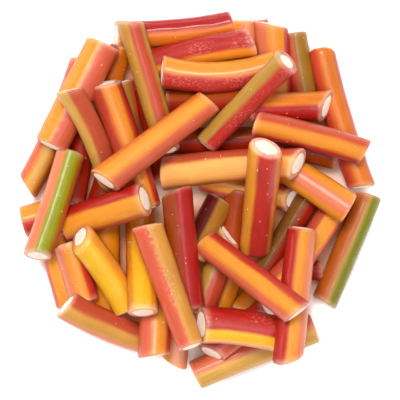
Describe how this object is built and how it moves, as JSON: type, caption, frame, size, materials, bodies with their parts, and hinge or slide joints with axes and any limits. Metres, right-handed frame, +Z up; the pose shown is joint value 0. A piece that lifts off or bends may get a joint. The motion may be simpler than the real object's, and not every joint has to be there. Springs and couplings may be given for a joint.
{
  "type": "chopped licorice heap",
  "caption": "Round heap of soft striped licorice sticks with a pale filling, cut short and lying over each other.",
  "frame": {"origin": "on the ground below the middle of the heap", "axes": "+Z up; +Y towards the top of the picture, which looks straight down; +X to its right"},
  "size_m": [0.1218, 0.1268, 0.0419],
  "materials": {
    "licorice": "satin"
  },
  "bodies": {
    "root": {"licorice_heap": "licorice"}
  },
  "joints": []
}
